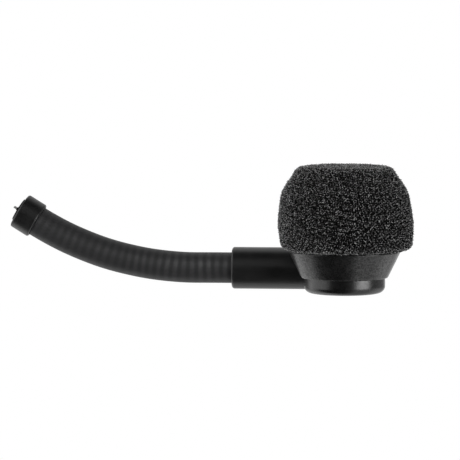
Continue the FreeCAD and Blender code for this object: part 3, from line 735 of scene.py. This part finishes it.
def foam_core():
    """The dark body under the outermost cells: pitted outside, plain in the cavity."""
    outline = core_outline()
    sides = CORE_SIDES
    around = np.arange(sides) * 2 * math.pi / sides
    pits = np.random.RandomState(5).normal(size=(CORE_ROWS - 1, sides)) * PIT_DEPTH

    def ring(radius, z, pit):
        return np.stack([(radius + pit) * np.cos(around), (radius + pit) * np.sin(around),
                         np.full(sides, z) + pit * 0.4], 1)

    rings = [ring(radius, z, pit) for (radius, z), pit in zip(outline[:-1], pits)]
    ceiling = len(rings)
    rings += [ring(radius, z, 0.0) for radius, z in CAVITY[1:]]
    top = len(rings) * sides
    points = np.concatenate(rings + [[[0, 0, outline[-1, 1]], [0, 0, CAVITY[0, 1]]]])
    faces = []
    for i in range(ceiling - 1):
        faces += band(i * sides, (i + 1) * sides, sides)
    for j in range(sides):
        following = (j + 1) % sides
        last = (ceiling - 1) * sides
        faces.append((last + j, last + following, top))
        faces.append((ceiling * sides + following, ceiling * sides + j, top + 1))
    for i in range(ceiling, len(rings) - 1):
        faces += band(i * sides, (i + 1) * sides, sides)
    faces += band((len(rings) - 1) * sides, 0, sides)
    return make("windscreen_body", slack(points), faces, core_mat)


foam_parts = foam()
core = foam_core()
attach(core, "windscreen")
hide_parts("windscreen_foam")

# ------------------------------------------------------------------ camera
CAMERA_TURN = math.radians(5.0)     # from -Y toward +X
CAMERA_RISE = math.radians(4.6)
CAMERA_DISTANCE = 480 * MM
VIEW_WIDTH = 69 * MM                # width seen at the target
SENSOR_WIDTH = 36
TARGET_SIDE = -17.2 * MM            # target along the view's right
TARGET_Z = 9.43 * MM


def camera():
    data = bpy.data.cameras.new("camera")
    made = bpy.data.objects.new("camera", data)
    scene.collection.objects.link(made)
    back = Vector((math.sin(CAMERA_TURN) * math.cos(CAMERA_RISE),
                   -math.cos(CAMERA_TURN) * math.cos(CAMERA_RISE), math.sin(CAMERA_RISE)))
    right = Vector((math.cos(CAMERA_TURN), math.sin(CAMERA_TURN), 0))
    target = right * TARGET_SIDE + Vector((0, 0, TARGET_Z))
    made.location = target + back * CAMERA_DISTANCE
    made.rotation_euler = (-back).to_track_quat("-Z", "Y").to_euler()
    data.sensor_width = SENSOR_WIDTH
    data.lens = SENSOR_WIDTH * CAMERA_DISTANCE / VIEW_WIDTH
    data.clip_start = 0.01
    data.clip_end = 100
    scene.camera = made


camera()


# ------------------------------------------------------------------ lights
def area_light(name, place, size, power, target, receivers):
    """A rectangular light that shines on the receivers alone."""
    data = bpy.data.lights.new(name, "AREA")
    data.shape = "RECTANGLE"
    data.size, data.size_y = size
    data.energy = power
    light = bpy.data.objects.new(name, data)
    scene.collection.objects.link(light)
    light.location = place
    toward = Vector(place) - Vector(target)
    light.rotation_euler = toward.to_track_quat("Z", "Y").to_euler()
    group = bpy.data.collections.new(name + "_receivers")
    for receiver in receivers:
        group.objects.link(receiver)
    light.light_linking.receiver_collection = group


area_light("key_foam", place=(-0.15, -0.40, 0.13), size=(0.26, 0.14), power=1.02,
           target=(0, 0, 0.008), receivers=foam_parts)
area_light("key_neck", place=(-0.24, -0.35, 0.23), size=(0.20, 0.18), power=0.31,
           target=(-0.03, 0.0094, 0.004), receivers=neck_parts)

# ------------------------------------------------------------------ world
BACK, SIDE, FRONT = 0.78, 0.26, 0.016   # power behind (+Y), at the sides and all around
# Panels: turn from, to and softness in degrees (0 at -Y, positive toward +X);
# height from, to and softness as the direction's z; power
PANELS = [
    (-40, 40, 14, 0.22, 0.80, 0.10, 0.33),
    (-118, -44, 12, -0.35, 0.75, 0.12, 1.40),
    (-150, -86, 9, -1.00, -0.35, 0.12, 0.76),
    (38, 76, 12, -0.27, 0.05, 0.09, 6.6),
    (32, 90, 10, -1.00, -0.35, 0.12, 0.84),
    (92, 140, 10, -0.80, -0.20, 0.15, 0.72),
]


def studio_world():
    """White to the camera; to the object, a pale backdrop, soft panels and a dark front."""
    world = bpy.data.worlds.new("studio")
    scene.world = world
    world.use_nodes = True
    w = Nodes(world.node_tree)

    def step(value, low, high):
        """0 below low, 1 above high."""
        inputs = {"Value": value, "From Min": low, "From Max": high}
        made = w.node("ShaderNodeMapRange", inputs, interpolation_type="SMOOTHSTEP")
        return made.outputs["Result"]

    def invert(value):
        return w.math("SUBTRACT", 1.0, value)

    def window(value, low, high, soft):
        """1 between low and high, with soft edges."""
        return w.math("MULTIPLY", step(value, low - soft, low + soft),
                      invert(step(value, high - soft, high + soft)))

    def background(strength):
        inputs = {"Color": (1, 1, 1, 1), "Strength": strength}
        return w.node("ShaderNodeBackground", inputs).outputs[0]

    generated = w.node("ShaderNodeTexCoord").outputs["Generated"]
    x, y, z = w.node("ShaderNodeSeparateXYZ", {0: generated}).outputs
    turn = w.math("ARCTAN2", x, w.math("MULTIPLY", y, -1.0))
    turn = w.math("MULTIPLY", turn, 180.0 / math.pi)
    centred = invert(step(w.math("ABSOLUTE", x, 0.0), low=0.25, high=0.65))
    # the backdrop's edge leans back as it rises
    leaning = w.math("SUBTRACT", y, w.math("MULTIPLY", z, 0.13))
    behind = w.math("MULTIPLY", step(leaning, low=-0.08, high=0.34),
                    w.linear(centred, times=BACK - SIDE, plus=SIDE))
    total = w.math("ADD", behind, FRONT)
    for turn_low, turn_high, turn_soft, z_low, z_high, z_soft, power in PANELS:
        panel = w.math("MULTIPLY", window(turn, turn_low, turn_high, turn_soft),
                       window(z, z_low, z_high, z_soft))
        total = w.math("ADD", total, w.math("MULTIPLY", panel, power))
    to_camera = w.node("ShaderNodeLightPath").outputs["Is Camera Ray"]
    shown = w.node("ShaderNodeMixShader",
                   {0: to_camera, 1: background(total), 2: background(1.0)})
    w.node("ShaderNodeOutputWorld", {0: shown.outputs[0]})


studio_world()

# ------------------------------------------------------------------ floor
FLOOR_HALF = 5
FLOOR_Z = -0.08


def floor_material():
    """Glowing white from above, clear from below."""
    material = bpy.data.materials.new("floor_pale")
    material.use_nodes = True
    m = Nodes(material.node_tree)
    glow = m.node("ShaderNodeEmission", {"Color": (1, 1, 1, 1), "Strength": 1.0})
    clear = m.node("ShaderNodeBsdfTransparent")
    below = m.node("ShaderNodeNewGeometry").outputs["Backfacing"]
    shown = m.node("ShaderNodeMixShader", {0: below, 1: glow.outputs[0], 2: clear.outputs[0]})
    m.node("ShaderNodeOutputMaterial", {0: shown.outputs[0]})
    return material


floor_corners = [(x * FLOOR_HALF, y * FLOOR_HALF, FLOOR_Z)
                 for x, y in ((-1, -1), (1, -1), (1, 1), (-1, 1))]
floor = make("floor", floor_corners, [(0, 1, 2, 3)], floor_material(), smooth=False)
floor.visible_diffuse = False
floor.visible_glossy = False
floor.visible_shadow = False

scene.view_settings.view_transform = "Standard"
scene.view_settings.look = "None"
